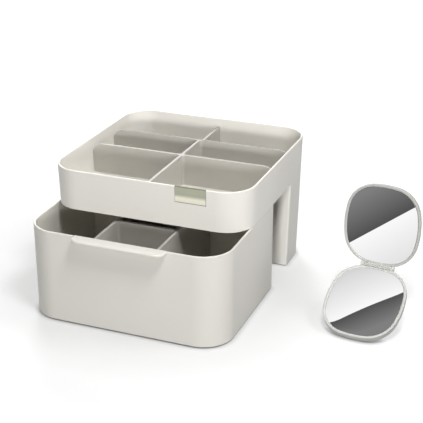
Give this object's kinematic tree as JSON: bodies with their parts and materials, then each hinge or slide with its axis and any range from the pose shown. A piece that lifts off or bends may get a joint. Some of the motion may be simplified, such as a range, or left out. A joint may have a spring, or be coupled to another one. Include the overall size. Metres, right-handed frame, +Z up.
{
  "type": "makeup organizer",
  "caption": "Compartment tray with a deep rear well, a drawer that slides out beneath it, divider walls and a loose folding mirror on a fold-out prop.",
  "frame": {"origin": "middle of the non-slip pad under the rear well, on the table plane", "axes": "+Z up; the drawer opens towards -Y; +X to the right seen from the front, the side where the mirror stands"},
  "size_m": [0.359, 0.2709, 0.1376],
  "materials": {
    "stone_plastic": "satin moulded, warm off-white",
    "plate_metal": "brushed, pale champagne",
    "pad_rubber": "matte",
    "runner_plastic": "smooth, low friction",
    "mirror_plastic": "satin gloss",
    "mirror_face": "silvered glass",
    "tape_foam": "foam tape",
    "plated_steel": "nickel plated"
  },
  "bodies": {
    "organizer": {"tray_body": "stone_plastic", "tray_divider": "stone_plastic", "well_divider": "stone_plastic", "front_plate": "plate_metal", "non_slip_pad": "pad_rubber", "runner_left": "runner_plastic", "runner_right": "runner_plastic"},
    "drawer": {"drawer_body": "stone_plastic", "drawer_pull": "stone_plastic", "drawer_divider": "stone_plastic", "drawer_glides": "runner_plastic"},
    "mirror_base": {"mirror_base_shell": "mirror_plastic", "mirror_base_glass": "mirror_face", "mirror_base_tape": "tape_foam", "mirror_base_magnet": "plated_steel", "mirror_hinge_pin": "plated_steel", "mirror_prop_pin": "plated_steel"},
    "mirror_lid": {"mirror_lid_shell": "mirror_plastic", "mirror_lid_glass": "mirror_face", "mirror_lid_tape": "tape_foam", "mirror_lid_magnet": "plated_steel"},
    "mirror_prop": {"mirror_prop": "mirror_plastic"}
  },
  "joints": [
    {"name": "drawer_slide", "type": "slide", "parent": "organizer", "child": "drawer", "axis": [0, -1, 0], "range_m": [-0.0525, 0.05]},
    {"name": "mirror_lift", "type": "slide", "parent": "organizer", "child": "mirror_base", "axis": [0, 0, 1], "range_m": [0, 0.15]},
    {"name": "mirror_lid_hinge", "type": "hinge", "parent": "mirror_base", "child": "mirror_lid", "pos_m": [0.2148, -0.0921, 0.04845], "axis": [0.9959, -0.0906, 0], "range_deg": [-22.6, 127.4]},
    {"name": "mirror_prop_hinge", "type": "hinge", "parent": "mirror_base", "child": "mirror_prop", "pos_m": [0.21452, -0.09519, 0.03905], "axis": [-0.9959, 0.0906, 0], "range_deg": [0, 59]}
  ]
}
